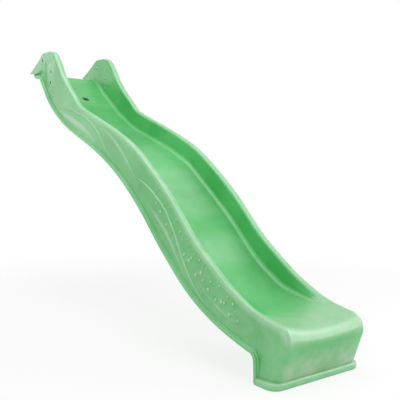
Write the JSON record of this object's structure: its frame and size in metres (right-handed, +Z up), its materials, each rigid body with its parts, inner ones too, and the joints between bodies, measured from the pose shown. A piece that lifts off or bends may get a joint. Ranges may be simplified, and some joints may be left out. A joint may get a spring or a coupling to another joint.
{
  "type": "playground slide",
  "caption": "Long wave-shaped plastic chute with raised side walls, swept-back ears at the top, a platform lip and a flanged ground foot.",
  "frame": {"origin": "middle of the foot's flat underside, on the ground", "axes": "+X along the run from the platform towards the exit, +Y to the left of someone sliding down, +Z up"},
  "size_m": [2.6046, 0.505, 1.6714],
  "materials": {
    "body": "satin moulded polyethylene, apple green",
    "steel": "zinc plated",
    "fitting": "moulded, dark grey",
    "seal": "matt black"
  },
  "bodies": {
    "root": {"ear_screw_left_1": "steel", "ear_screw_left_2": "steel", "ear_screw_left_3": "steel", "ear_screw_right_1": "steel", "ear_screw_right_2": "steel", "ear_screw_right_3": "steel", "ear_washer_left_1": "steel", "ear_washer_left_2": "steel", "ear_washer_left_3": "steel", "ear_washer_right_1": "steel", "ear_washer_right_2": "steel", "ear_washer_right_3": "steel", "hose_nut": "fitting", "hose_seal": "seal", "hose_spigot": "fitting", "slide_body": "body"}
  },
  "joints": []
}
